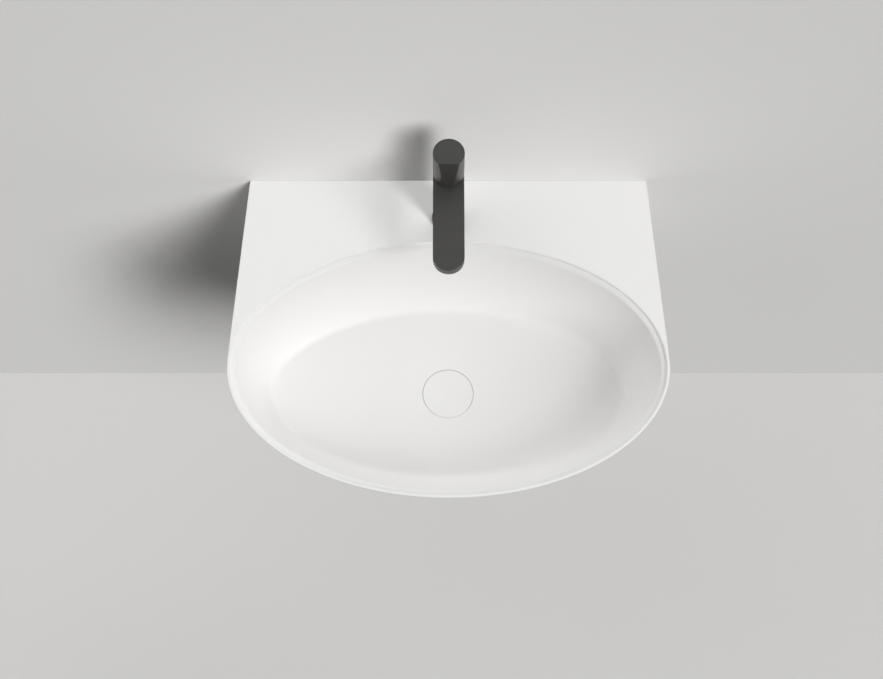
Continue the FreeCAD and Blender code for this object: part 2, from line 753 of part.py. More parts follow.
def make_tap_body():
    """Column and flat spout in one casting, bored for the cartridge, the water and the shank."""
    body = new_body("tap_body", AT_TAP)
    spout = new_sketch(body, "XY_Plane", "spout_top")
    draw_spout_plan(spout)
    extrude(body, "Pad", spout, "spout_root_thickness", backwards=True)
    undercut = new_sketch(body, "YZ_Plane")
    rise = "(spout_root_thickness - spout_tip_thickness) / (spout_reach - tap_diameter / 2)"
    far_end = "-spout_reach - overrun"
    draw_polygon(undercut, [
        ("-tap_diameter / 2", SPOUT_FOOT),
        (far_end, f"{SPOUT_FOOT} + {rise} * (spout_reach - tap_diameter / 2 + overrun)"),
        (far_end, SPOUT_FOOT),
    ])
    cut_both_ways(body, undercut)
    dress(body, "Chamfer", lambda edge: lies_at(edge, "spout_top"), "tap_edge")

    column = new_sketch(body, "XY_Plane", COLUMN_FOOT)
    draw_circle(column, "tap_diameter")
    extrude(body, "Pad", column, f"{SPOUT_FOOT} - ({COLUMN_FOOT})")
    neck = new_sketch(body, "XY_Plane", "spout_top")
    draw_circle(neck, "neck_diameter")
    extrude(body, "Pad", neck, "neck_height")

    chamber = new_sketch(body, "XY_Plane", NECK_TOP)
    draw_circle(chamber, "chamber_bore")
    extrude(body, "Pocket", chamber, "chamber_depth")
    waterway = new_sketch(body, "XZ_Plane")
    draw_circle(waterway, "waterway", "0", "spout_top - waterway_drop")
    extrude(body, "Pocket", waterway, f"-({TIP_CENTRE})", backwards=True)
    aerator = new_sketch(body, "XY_Plane", AERATOR_ROOF)
    draw_circle(aerator, "aerator_diameter", "0", TIP_CENTRE)
    extrude(body, "Pocket", aerator, "spout_root_thickness")

    socket = new_sketch(body, "XY_Plane", COLUMN_FOOT)
    draw_circle(socket, "shank_diameter")
    extrude(body, "Pocket", socket, f"{SOCKET_ROOF} - ({COLUMN_FOOT})", backwards=True)
    bore_pair(body, "port_feed", SOCKET_ROOF, f"{CHAMBER_FLOOR} - ({SOCKET_ROOF})")
    return body


def make_tap_inlet_block():
    """Brass block in the foot of the body: the hoses screw into it from below, and feeds lead up."""
    body = new_body("tap_inlet_block", AT_TAP)
    block = new_sketch(body, "XY_Plane", SHANK_TOP)
    draw_circle(block, "shank_diameter - 2 * fit_gap")
    extrude(body, "Pad", block, "inlet_block_height")
    bore_pair(body, "port_diameter", SHANK_TOP, "port_depth")
    bore_pair(body, "port_feed", SHANK_TOP, "inlet_block_height")
    return body


def make_tap_inlet_seal():
    """Flat rubber between the inlet block and the body, open at both feeds."""
    body = new_body("tap_inlet_seal", AT_TAP)
    disc = new_sketch(body, "XY_Plane", INLET_BLOCK_TOP)
    draw_circle(disc, "shank_diameter - 2 * fit_gap")
    extrude(body, "Pad", disc, "inlet_seal_thickness")
    bore_pair(body, "port_feed", INLET_BLOCK_TOP, "inlet_seal_thickness")
    return body


def make_tap_base_seal():
    return ring("tap_base_seal", AT_TAP, "base_ring_diameter - 2 * base_seal_margin", "tap_hole",
                "0", "base_seal_thickness")


def make_tap_base_ring():
    outer = "base_ring_diameter / 2"
    return turned("tap_base_ring", AT_TAP, [
        ("base_ring_bore / 2", "base_seal_thickness"),
        (outer, "base_seal_thickness"),
        (outer, f"{COLUMN_FOOT} - base_ring_chamfer"),
        (f"{outer} - base_ring_chamfer", COLUMN_FOOT),
        ("base_ring_bore / 2", COLUMN_FOOT),
    ])


def make_tap_cartridge_seals():
    """One O-ring round each inlet, on the chamber floor."""
    rings = []
    for side, across in (("left", "-port_offset"), ("right", "port_offset")):
        seal = doc.addObject("Part::Torus", f"inlet_seal_{side}")
        seal.setExpression("Radius1", formula("cartridge_seal_ring / 2"))
        seal.setExpression("Radius2", formula("cartridge_seal_wire / 2"))
        seal.setExpression(".Placement.Base.x", formula(across))
        seal.setExpression(".Placement.Base.y", formula(AT_TAP[1]))
        height = f"{AT_TAP[2]} + {CHAMBER_FLOOR} + cartridge_seal_wire / 2"
        seal.setExpression(".Placement.Base.z", formula(height))
        rings.append(seal)
    pair = doc.addObject("Part::Compound", "tap_cartridge_seals")
    pair.Links = rings
    return pair


def make_tap_cartridge():
    """Closed ceramic-disc cartridge, bored at the top for the turning stem."""
    case = "chamber_bore / 2 - fit_gap"
    bore = "tap_stem_journal / 2 + running_gap"
    bore_floor = f"{CARTRIDGE_TOP} - tap_stem_journal_depth - seat_gap"
    return turned("tap_cartridge", AT_TAP, [
        ("0", CARTRIDGE_FOOT),
        (case, CARTRIDGE_FOOT),
        (case, CARTRIDGE_SHOULDER),
        ("cartridge_top_boss / 2", CARTRIDGE_SHOULDER),
        ("cartridge_top_boss / 2", CARTRIDGE_TOP),
        (bore, CARTRIDGE_TOP),
        (bore, bore_floor),
        ("0", bore_floor),
    ])


def make_tap_cartridge_nut():
    outer = "chamber_bore - 2 * fit_gap"
    inner = "cartridge_top_boss + 2 * fit_gap"
    top = f"{CARTRIDGE_SHOULDER} + cartridge_nut_thickness"
    return ring("tap_cartridge_nut", AT_TAP, outer, inner, CARTRIDGE_SHOULDER, top)


def draw_square(sketch, side):
    right = f"({side}) / 2"
    left = f"-({right})"
    draw_polygon(sketch, [(left, left), (right, left), (right, right), (left, right)])


def make_tap_cartridge_stem():
    """Round journal in the cartridge, square end in the handle."""
    body = new_body("tap_cartridge_stem", AT_TAP)
    journal_foot = f"{CARTRIDGE_TOP} - tap_stem_journal_depth"
    journal = new_sketch(body, "XY_Plane", journal_foot)
    draw_circle(journal, "tap_stem_journal")
    extrude(body, "Pad", journal, f"{HANDLE_ROOF} - ({journal_foot})")
    square = new_sketch(body, "XY_Plane", HANDLE_ROOF)
    draw_square(square, "tap_stem_square")
    extrude(body, "Pad", square, "tap_stem_grip")
    return body


def make_tap_glide_ring():
    outer = "tap_diameter - 2 * glide_ring_margin"
    inner = "neck_diameter + 2 * fit_gap"
    return ring("tap_glide_ring", AT_TAP, outer, inner, "spout_top", "spout_top + glide_ring_thickness")


def make_tap_handle():
    """Hollow cylinder with a slanting flat at the front and a square socket for the stem."""
    body = new_body("tap_handle", AT_TAP)
    outside = new_sketch(body, "XY_Plane", HANDLE_FOOT)
    draw_circle(outside, "tap_diameter")
    extrude(body, "Pad", outside, "handle_height")
    flat = new_sketch(body, "YZ_Plane")
    clear_of_front = "-tap_diameter / 2 - overrun"
    draw_polygon(flat, [
        ("-tap_diameter / 2 + facet_top_depth", HANDLE_TOP),
        (clear_of_front, HANDLE_TOP),
        (clear_of_front, HANDLE_FOOT),
        ("-tap_diameter / 2 + facet_foot_depth", HANDLE_FOOT),
    ])
    cut_both_ways(body, flat)
    dress(body, "Fillet", lambda edge: lies_at(edge, HANDLE_TOP), "handle_edge")
    hollow = new_sketch(body, "XY_Plane", HANDLE_FOOT)
    draw_circle(hollow, "handle_hollow_diameter")
    extrude(body, "Pocket", hollow, "handle_hollow_depth", backwards=True)
    socket = new_sketch(body, "XY_Plane", HANDLE_ROOF)
    draw_square(socket, "tap_stem_square + 2 * fit_gap")
    extrude(body, "Pocket", socket, "tap_stem_grip + seat_gap", backwards=True)
    screw_hole = new_sketch(body, "XZ_Plane")
    draw_circle(screw_hole, "grub_screw_diameter + 2 * fit_gap", "0", f"{HANDLE_ROOF} + tap_stem_grip / 2")
    extrude(body, "Pocket", screw_hole, "tap_diameter")
    return body


def make_tap_handle_screw():
    """Grub screw from the back of the handle on to a side of the square stem."""
    height = f"{AT_TAP[2]} + {HANDLE_ROOF} + tap_stem_grip / 2"
    screw = turned("tap_handle_screw", ("0", f"{AT_TAP[1]} + tap_stem_square / 2", height), [
        ("0", "0"),
        ("grub_screw_diameter / 2", "0"),
        ("grub_screw_diameter / 2", "grub_screw_length"),
        ("0", "grub_screw_length"),
    ])
    screw.Placement.Rotation = FreeCAD.Rotation(Vector(1, 0, 0), -90)
    return screw


def make_tap_aerator_seal():
    return ring("tap_aerator_seal", AT_AERATOR, "aerator_diameter - 2 * fit_gap",
                "aerator_diameter - 2 * (aerator_wall + aerator_lip)", AERATOR_SEAT, AERATOR_ROOF)


def make_tap_aerator_housing():
    """Screwed sleeve with a lip at its mouth that carries the insert."""
    outer = "aerator_diameter / 2 - fit_gap"
    inner = f"{outer} - aerator_wall"
    lip_top = f"{AERATOR_FOOT} + aerator_lip_height"
    return turned("tap_aerator_housing", AT_AERATOR, [
        (f"{inner} - aerator_lip", AERATOR_FOOT),
        (outer, AERATOR_FOOT),
        (outer, AERATOR_SEAT),
        (inner, AERATOR_SEAT),
        (inner, lip_top),
        (f"{inner} - aerator_lip", lip_top),
    ])


def make_tap_aerator_insert():
    """Plastic disc with a ring of jets round a middle one."""
    body = new_body("tap_aerator_insert", AT_AERATOR)
    foot = f"{AERATOR_FOOT} + aerator_lip_height"
    disc = new_sketch(body, "XY_Plane", foot)
    draw_circle(disc, "aerator_diameter - 2 * (2 * fit_gap + aerator_wall)")
    extrude(body, "Pad", disc, "aerator_insert_height")
    middle = new_sketch(body, "XY_Plane", foot)
    draw_circle(middle, "aerator_jet")
    extrude(body, "Pocket", middle, "aerator_insert_height", backwards=True)
    outer = new_sketch(body, "XY_Plane", foot)
    draw_circle(outer, "aerator_jet", "aerator_jet_circle / 2")
    jet = extrude(body, "Pocket", outer, "aerator_insert_height", backwards=True)
    jets = body.newObject("PartDesign::PolarPattern", "jets")
    jets.Originals = [jet]
    jets.Axis = (outer, ["N_Axis"])
    jets.Occurrences = AERATOR_JETS
    body.Tip = jets
    doc.recompute()
    return body


def make_tap_shank():
    return ring("tap_shank", AT_TAP, "shank_diameter - 2 * fit_gap", "shank_bore",
                "-shank_length_below_deck", SHANK_TOP)


def make_tap_clamp_seal():
    return ring("tap_clamp_seal", AT_TAP, "clamp_diameter", "shank_diameter + 2 * fit_gap",
                "-deck_thickness - clamp_seal_thickness", "-deck_thickness")


def make_tap_clamp_washer():
    top = "-deck_thickness - clamp_seal_thickness"
    return ring("tap_clamp_washer", AT_TAP, "clamp_diameter", "shank_diameter + 2 * fit_gap",
                f"{top} - clamp_washer_thickness", top)


def make_tap_clamp_nut():
    top = "-deck_thickness - clamp_seal_thickness - clamp_washer_thickness"
    return hexagon_nut("tap_clamp_nut", AT_TAP, "clamp_nut_flats", "shank_diameter + 2 * fit_gap",
                       f"{top} - clamp_nut_thickness", "clamp_nut_thickness")


pieces = [
    make_basin(),
    make_wall_sleeves(),
    make_drain_cover(),
    make_drain_cover_seal(),
    make_drain_cover_holder(),
    make_drain_stem(),
    make_drain_push_cartridge(),
    make_drain_body(),
    make_drain_top_seal(),
    make_drain_lower_seal(),
    make_drain_backnut(),
    make_drain_tail_seal(),
    make_drain_tail(),
    make_tap_base_seal(),
    make_tap_base_ring(),
    make_tap_body(),
    make_tap_inlet_block(),
    make_tap_inlet_seal(),
    make_tap_cartridge_seals(),
    make_tap_cartridge(),
    make_tap_cartridge_nut(),
    make_tap_cartridge_stem(),
    make_tap_glide_ring(),
    make_tap_handle(),
    make_tap_handle_screw(),
    make_tap_aerator_seal(),
    make_tap_aerator_housing(),
    make_tap_aerator_insert(),
    make_tap_shank(),
    make_tap_clamp_seal(),
    make_tap_clamp_washer(),
    make_tap_clamp_nut(),
]
doc.recompute()

# Nothing is written unless every object of the document came out whole
for feature in doc.Objects:
    if "Invalid" in feature.State or "Error" in feature.State:
        raise RuntimeError(f"{feature.Label} failed: {feature.State}")
for piece in pieces:
    if piece.Shape.isNull() or not piece.Shape.isValid():
        raise RuntimeError(f"{piece.Label} has no valid shape")

os.makedirs("parts", exist_ok=True)
for piece in pieces:
    piece.Shape.exportStep(f"parts/{piece.Label}.step")
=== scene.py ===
import bpy, bmesh
import math
from mathutils import Matrix, Vector


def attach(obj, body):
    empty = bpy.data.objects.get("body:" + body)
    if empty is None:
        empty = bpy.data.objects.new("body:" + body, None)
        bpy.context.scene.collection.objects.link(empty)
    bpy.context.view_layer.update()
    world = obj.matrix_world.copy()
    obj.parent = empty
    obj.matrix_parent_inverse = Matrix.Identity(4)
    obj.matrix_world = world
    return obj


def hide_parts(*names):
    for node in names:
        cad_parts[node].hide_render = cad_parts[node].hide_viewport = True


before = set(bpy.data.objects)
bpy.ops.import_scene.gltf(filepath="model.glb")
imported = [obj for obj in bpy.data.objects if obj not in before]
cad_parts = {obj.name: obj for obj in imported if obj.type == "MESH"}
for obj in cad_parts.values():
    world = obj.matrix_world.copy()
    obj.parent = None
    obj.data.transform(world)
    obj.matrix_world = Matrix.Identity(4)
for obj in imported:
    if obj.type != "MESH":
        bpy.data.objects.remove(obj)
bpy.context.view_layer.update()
scene = bpy.context.scene

# Room, as a stage only: a painted wall that the basin's flat back rests on, and a floor 850 mm under the rim.
# Both show their front side to the camera and in mirrors, with the basin's shadow; to all other light they are clear.


def node_adder(tree):
    """Empty a node tree and give the function that adds one node to it with its settings."""
    tree.nodes.clear()

    def add(kind, settings=None, inputs=None):
        node = tree.nodes.new(kind)
        for attribute, setting in (settings or {}).items():
            setattr(node, attribute, setting)
        for socket, source in (inputs or {}).items():
            if isinstance(source, bpy.types.NodeSocket):
                tree.links.new(source, node.inputs[socket])
            else:
                node.inputs[socket].default_value = source
        return node

    return add


def start_material(name):
    """An empty material, the function that adds its nodes, and the place on the object that its patterns follow."""
    material = bpy.data.materials.new(name)
    material.use_nodes = True
    add = node_adder(material.node_tree)
    return material, add, add("ShaderNodeTexCoord").outputs["Object"]


def noise(add, place, scale, detail):
    """A soft random pattern from 0 to 1."""
    return add("ShaderNodeTexNoise", inputs={"Vector": place, "Scale": scale, "Detail": detail}).outputs["Fac"]


def blend(add, share, first, second):
    """A colour between two others."""
    return add("ShaderNodeMix", {"data_type": "RGBA"}, {"Factor": share, "A": first, "B": second}).outputs["Result"]


def ray_is_shown(add):
    """1 on the rays that make the picture, straight from the camera, mirrored or passed on, and else 0."""
    ray = add("ShaderNodeLightPath").outputs
    seen = add("ShaderNodeMath", {"operation": "MAXIMUM"}, {0: ray["Is Camera Ray"], 1: ray["Is Glossy Ray"]})
    shown = add("ShaderNodeMath", {"operation": "MAXIMUM"}, {0: seen.outputs[0], 1: ray["Is Transmission Ray"]})
    return shown.outputs[0]


def room_paint(name, pale, dark):
    """Matt paint with a faint cloud in it, on the front side only."""
    material, add, place = start_material(name)
    tone = blend(add, noise(add, place, scale=1.5, detail=3.0), pale, dark)
    paint = add("ShaderNodeBsdfDiffuse", inputs={"Color": tone})
    behind = add("ShaderNodeNewGeometry").outputs["Backfacing"]
    front = add("ShaderNodeMath", {"operation": "SUBTRACT", "use_clamp": True}, {0: ray_is_shown(add), 1: behind})
    clear = add("ShaderNodeBsdfTransparent")
    mixed = add("ShaderNodeMixShader", inputs={0: front.outputs[0], 1: clear.outputs[0], 2: paint.outputs[0]})
    add("ShaderNodeOutputMaterial", inputs={"Surface": mixed.outputs[0]})
    return material


def room_plane(name, corners, material):
    """One flat side of the room."""
    mesh = bpy.data.meshes.new(name)
    mesh.from_pydata(corners, [], [range(len(corners))])
    mesh.materials.append(material)
    plane = bpy.data.objects.new(name, mesh)
    scene.collection.objects.link(plane)
    return plane


wall_paint = room_paint("wall_paint", (0.705, 0.7, 0.688, 1), (0.695, 0.69, 0.678, 1))
floor_paint = room_paint("floor_paint", (0.71, 0.703, 0.69, 1), (0.7, 0.693, 0.68, 1))
floor_z, ceiling_z = -0.785, 4
front_y, wall_y = -6, 0.0004
left_x, right_x = -6, 6
room_wall = room_plane("room_wall", [
    (left_x, wall_y, floor_z), (right_x, wall_y, floor_z), (right_x, wall_y, ceiling_z), (left_x, wall_y, ceiling_z),
], wall_paint)
room_plane("room_floor", [
    (left_x, front_y, floor_z), (right_x, front_y, floor_z), (right_x, wall_y, floor_z), (left_x, wall_y, floor_z),
], floor_paint)

# Camera and light: a steep view from the front and above, a tall narrow key from the right and front, weaker fills
# from the left and from behind, and a pale sky, stronger from below as over a pale floor.
# One more lamp from the key's side lights the wall alone, which brings the shadows on it nearer to the photo's depth.
view = bpy.data.cameras.new("view")
view.sensor_width = 36
view.lens = 61.155
camera = bpy.data.objects.new("view", view)
camera.location = (-0.0093, -0.9369, 1.9823)
camera.rotation_euler = (math.radians(20), 0, 0)
scene.collection.objects.link(camera)
scene.camera = camera
scene.view_settings.view_transform = "Standard"


def soft_lamp(name, right_of_front, height, spread, energy):
    """A distant soft lamp given by its angles in degrees: to the right of the front, above the floor, and wide."""
    lamp = bpy.data.lights.new(name, "SUN")
    lamp.energy = energy
    lamp.angle = math.radians(spread)
    holder = bpy.data.objects.new(name, lamp)
    turn, lift = math.radians(right_of_front), math.radians(height)
    toward = Vector((math.sin(turn) * math.cos(lift), -math.cos(turn) * math.cos(lift), math.sin(lift)))
    holder.rotation_euler = toward.to_track_quat("Z", "Y").to_euler()
    scene.collection.objects.link(holder)
    return holder


soft_lamp("key_lamp_low", right_of_front=41, height=27, spread=15, energy=0.575)
soft_lamp("key_lamp_middle", right_of_front=41, height=38, spread=15, energy=0.595)
soft_lamp("key_lamp_high", right_of_front=41, height=49, spread=15, energy=0.615)
soft_lamp("left_fill", right_of_front=-84, height=28, spread=70, energy=0.66)
soft_lamp("left_back_fill", right_of_front=-120, height=45, spread=80, energy=0.28)
soft_lamp("back_fill", right_of_front=180, height=54, spread=90, energy=0.86)
soft_lamp("right_back_fill", right_of_front=146, height=30, spread=50, energy=0.82)
wall_key = soft_lamp("wall_key", right_of_front=35, height=42, spread=28, energy=1.64)
wall_alone = bpy.data.collections.new("wall_alone")
wall_alone.objects.link(room_wall)
wall_key.light_linking.receiver_collection = wall_alone

sky = bpy.data.worlds.new("sky")
sky.use_nodes = True
add = node_adder(sky.node_tree)
direction = add("ShaderNodeTexCoord").outputs["Generated"]
sky_level = add("ShaderNodeMapRange", inputs={
    "Value": add("ShaderNodeSeparateXYZ", inputs={0: direction}).outputs["Z"],
    "From Min": -0.1,
    "From Max": 0.1,
    "To Min": 0.18,
    "To Max": 0.02,
}).outputs["Result"]
fill = add("ShaderNodeBackground", inputs={"Color": (1, 1, 1, 1), "Strength": sky_level})
backdrop = add("ShaderNodeBackground", inputs={"Color": (0.58, 0.575, 0.555, 1)})
mixed = add("ShaderNodeMixShader", inputs={0: ray_is_shown(add), 1: fill.outputs[0], 2: backdrop.outputs[0]})
add("ShaderNodeOutputWorld", inputs={"Surface": mixed.outputs[0]})
scene.world = sky

# Basin casting and waste cover: white mineral composite, poured in a mould and sanded to a satin skin.
# Its tone is even but for a faint drift and the mineral's flecks; the sanding leaves a fine soft grain.


def ramp(add, pattern, low, high):
    """A pattern from 0 to 1, stretched between two values."""
    return add("ShaderNodeMapRange", inputs={"Value": pattern, "To Min": low, "To Max": high}).outputs["Result"]


def bump(add, pattern, strength, distance):
    """The tilt that a fine relief gives to the surface."""
    inputs = {"Height": pattern, "Strength": strength, "Distance": distance}
    return add("ShaderNodeBump", inputs=inputs).outputs["Normal"]


def set_skin(add, tone, roughness, **more):
    """End a material in one glossy surface."""
    skin = add("ShaderNodeBsdfPrincipled", inputs={"Base Color": tone, "Roughness": roughness, **more})
    add("ShaderNodeOutputMaterial", inputs={"Surface": skin.outputs[0]})


def coat(material, *names):
    """Give CAD nodes their finish."""
    for name in names:
        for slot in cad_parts[name].material_slots:
            slot.material = material


composite, add, place = start_material("satin_composite")
drift = noise(add, place, scale=14.0, detail=4.0)
fleck = noise(add, place, scale=1400.0, detail=1.0)
grain = noise(add, place, scale=900.0, detail=2.0)
body_tone = blend(add, drift, (0.945, 0.94, 0.931, 1), (0.938, 0.932, 0.922, 1))
flecked = add("ShaderNodeMapRange", inputs={"Value": fleck, "From Min": 0.6, "From Max": 0.8, "To Max": 0.3})
skin_tone = blend(add, flecked.outputs["Result"], body_tone, (0.91, 0.904, 0.893, 1))
relief = bump(add, grain, strength=0.05, distance=0.0002)
set_skin(add, skin_tone, ramp(add, grain, low=0.48, high=0.56), Normal=relief)
coat(composite, "basin_body", "drain_cover")

# Wall sleeves: two flanged plastic tubes, injection moulded, pushed into the back wall from inside the hollow.
# They keep the wall bolts off the composite. The push cartridge of the waste, the tap's cartridge and glide ring and
# the aerator's insert are moulded plastic too.


def moulded_plastic(name, pale, dark):
    """Plastic with the fine spark-eroded grain of its mould and a slow drift of tone."""
    material, add, place = start_material(name)
    drift = noise(add, place, scale=60.0, detail=3.0)
    pits = add("ShaderNodeTexVoronoi", inputs={"Vector": place, "Scale": 1800.0}).outputs["Distance"]
    relief = bump(add, pits, strength=0.12, distance=0.0002)
    set_skin(add, blend(add, drift, pale, dark), ramp(add, drift, low=0.38, high=0.52), Normal=relief)
    return material


white_plastic = moulded_plastic("white_plastic", (0.8, 0.8, 0.78, 1), (0.75, 0.75, 0.73, 1))
grey_plastic = moulded_plastic("grey_plastic", (0.22, 0.22, 0.23, 1), (0.26, 0.26, 0.27, 1))
coat(white_plastic, "wall_sleeves")
coat(grey_plastic, "drain_push_cartridge", "tap_cartridge", "tap_glide_ring", "tap_aerator_insert")

# Seals: moulded black rubber with a dull bloom, clamped or glued where two hard pieces would meet.
# Under the waste flange, the basin, the cover and the tail, and in the tap at its foot, clamp, inlets, cartridge
# and aerator.
rubber, add, place = start_material("seal_rubber")
bloom = noise(add, place, scale=90.0, detail=5.0)
pores = noise(add, place, scale=2200.0, detail=2.0)
rubber_tone = blend(add, bloom, (0.022, 0.022, 0.023, 1), (0.045, 0.045, 0.044, 1))
relief = bump(add, pores, strength=0.2, distance=0.0002)
set_skin(add, rubber_tone, ramp(add, bloom, low=0.55, high=0.8), Normal=relief)
coat(rubber, "drain_cover_seal", "drain_top_seal", "drain_lower_seal", "drain_tail_seal", "tap_base_seal",
     "tap_inlet_seal", "tap_cartridge_seals", "tap_aerator_seal", "tap_clamp_seal")

# Waste body: a chromed brass flange and threaded sleeve in one turning, let into the drain hole from above.
# Three cast arms across the sleeve carry a hub, into which the push cartridge is screwed.
chrome, add, place = start_material("chrome_plate")
smear = noise(add, place, scale=40.0, detail=5.0)
chrome_tone = blend(add, smear, (0.78, 0.78, 0.79, 1), (0.71, 0.71, 0.72, 1))
set_skin(add, chrome_tone, ramp(add, smear, low=0.06, high=0.16), Metallic=1.0)


def turn_outline(shape, axis_at, corners):
    """Spin a closed outline, given as radius and height of its corners, round an upright axis."""
    x, y = axis_at
    points = [shape.verts.new((x + radius, y, height)) for radius, height in corners]
    outline = [shape.edges.new((points[index - 1], point)) for index, point in enumerate(points)]
    bmesh.ops.spin(shape, geom=points + outline, cent=(x, y, 0), axis=(0, 0, 1), angle=math.tau, steps=96,
                   use_merge=True)


def wind_thread(shape, axis_at, root, crest, low, high, pitch):
    """A ridge wound up a turned core between two heights; it dies out at both ends."""
    x, y = axis_at
    steps_per_turn = 32
    turns = (high - low) / pitch - 1
    steps = round(steps_per_turn * turns)
    sunk = root - pitch / 8
    flank_share = 0.42
    section = [
        shape.verts.new((x + sunk, y, low)),
        shape.verts.new((x + crest, y, low + flank_share * pitch)),
        shape.verts.new((x + crest, y, low + (1 - flank_share) * pitch)),
        shape.verts.new((x + sunk, y, low + pitch)),
    ]
    wound = bmesh.ops.spin(shape, geom=section + [shape.faces.new(section)], cent=(x, y, 0), axis=(0, 0, 1),
                           dvec=(0, 0, turns * pitch / steps), angle=math.tau * turns, steps=steps)
    last = [point for point in wound["geom_last"] if isinstance(point, bmesh.types.BMVert)]
    for point in section[1:3] + sorted(last, key=lambda corner: corner.co.z)[1:3]:
        arm = point.co.xy - Vector(axis_at)
        point.co.xy = Vector(axis_at) + arm * root / arm.length
    bmesh.ops.holes_fill(shape, edges=shape.edges, sides=4)


def finish_piece(name, shape, material, slot, body, *nodes):
    """Clean a new piece's mesh, shade it by its creases, and put it in its nodes' place."""
    bmesh.ops.remove_doubles(shape, verts=shape.verts, dist=1e-6)
    bmesh.ops.recalc_face_normals(shape, faces=shape.faces)
    mesh = bpy.data.meshes.new(name)
    shape.to_mesh(mesh)
    shape.free()
    mesh.shade_smooth()
    mesh.set_sharp_from_angle(angle=math.radians(32))
    mesh.materials.append(material)
    piece = bpy.data.objects.new(name, mesh)
    scene.collection.objects.link(piece)
    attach(piece, body)
    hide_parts(*nodes)


drain_axis = (0, -0.275)
throat, throat_lip = 0.019, 0.002
sleeve_root, sleeve_crest = 0.0214, 0.0225
sleeve_foot, sleeve_thread_top = -0.121, -0.0925
sleeve_lead = 0.0006
thread_runout = 0.001
flange, flange_foot, flange_top = 0.035, -0.074, -0.071
edge_break = 0.0004
waste_body = bmesh.new()
turn_outline(waste_body, drain_axis, [
    (throat, sleeve_foot), (sleeve_root - sleeve_lead, sleeve_foot), (sleeve_root, sleeve_foot + sleeve_lead),
    (sleeve_root, sleeve_thread_top), (sleeve_crest, sleeve_thread_top + thread_runout), (sleeve_crest, flange_foot),
    (flange - edge_break, flange_foot), (flange, flange_foot + edge_break),
    (flange, flange_top - edge_break), (flange - edge_break, flange_top),
    (throat + throat_lip, flange_top), (throat, flange_top - throat_lip),
])
wind_thread(waste_body, drain_axis, sleeve_root, sleeve_crest, low=-0.1208, high=-0.0928, pitch=0.002)
hub_bore, hub, hub_foot, hub_top = 0.006, 0.0085, -0.105, -0.099
turn_outline(waste_body, drain_axis, [(hub_bore, hub_foot), (hub, hub_foot), (hub, hub_top), (hub_bore, hub_top)])
arm_start, arm_end, arm_width, arm_count = 0.0075, 0.0201, 0.003, 3
for arm in range(arm_count):
    spoke = Matrix.Translation((*drain_axis, (hub_foot + hub_top) / 2))
    spoke = spoke @ Matrix.Rotation(math.tau * arm / arm_count, 4, "Z")
    spoke = spoke @ Matrix.Translation(((arm_start + arm_end) / 2, 0, 0))
    spoke = spoke @ Matrix.Diagonal((arm_end - arm_start, arm_width, hub_top - hub_foot, 1))
    bmesh.ops.create_cube(waste_body, size=1, matrix=spoke)
finish_piece("waste_body", waste_body, chrome, "chrome", "basin", "drain_body")

# Waste backnut: a chromed hexagon nut that draws the waste body down and squeezes the seal under the basin.
# It is milled from bar, its rims rounded above and below.


def hexagon_nut(axis_at, flats, bore, low, high):
    """A nut with its bore and with rounded rims, built from its lower face up."""
    shape = bmesh.new()
    foot = Matrix.Translation((*axis_at, low))
    points_per_flat = 8
    bmesh.ops.create_circle(shape, segments=6, radius=flats / math.sqrt(3), matrix=foot)
    bmesh.ops.subdivide_edges(shape, edges=shape.edges, cuts=points_per_flat - 1)
    bmesh.ops.create_circle(shape, segments=6 * points_per_flat, radius=bore, matrix=foot)
    bmesh.ops.bridge_loops(shape, edges=shape.edges)
    raised = bmesh.ops.extrude_face_region(shape, geom=shape.faces[:], use_keep_orig=True)
    top = [point for point in raised["geom"] if isinstance(point, bmesh.types.BMVert)]
    bmesh.ops.translate(shape, verts=top, vec=(0, 0, high - low))
    bmesh.ops.recalc_face_normals(shape, faces=shape.faces)
    nearly_square = 1.4
    rims = [edge for edge in shape.edges if edge.calc_face_angle(0) > nearly_square]
    bmesh.ops.bevel(shape, geom=rims, offset=0.0008, offset_type="OFFSET", affect="EDGES", segments=3, profile=0.5,
                    material=-1, clamp_overlap=True)
    return shape


waste_backnut = hexagon_nut(drain_axis, flats=0.06, bore=0.0226, low=-0.106, high=-0.096)
finish_piece("waste_backnut", waste_backnut, chrome, "chrome", "basin", "drain_backnut")

# Waste tail: a chromed brass tube with a collar, pushed into the sleeve and sealed there.
# Its outside thread takes the slip nut of the trap.
tail_bore, tail_root, tail_crest = 0.0165, 0.01955, 0.02095
tail_foot, tail_top = -0.1735, -0.114
tail_nose, tail_nose_top = 0.0188, -0.1728
collar, collar_foot, collar_top, collar_break = 0.0225, -0.1275, -0.1225, 0.0003
spigot = 0.0189
waste_tail = bmesh.new()
turn_outline(waste_tail, drain_axis, [
    (tail_bore, tail_foot), (tail_nose, tail_foot), (tail_root, tail_nose_top), (tail_root, collar_foot),
    (collar - collar_break, collar_foot), (collar, collar_foot + collar_break),
    (collar, collar_top - collar_break), (collar - collar_break, collar_top),
    (spigot, collar_top), (spigot, tail_top - edge_break), (spigot - edge_break, tail_top), (tail_bore, tail_top),
])
wind_thread(waste_tail, drain_axis, tail_root, tail_crest, low=-0.1733, high=-0.1293, pitch=0.00231)
finish_piece("waste_tail", waste_tail, chrome, "chrome", "basin", "drain_tail")

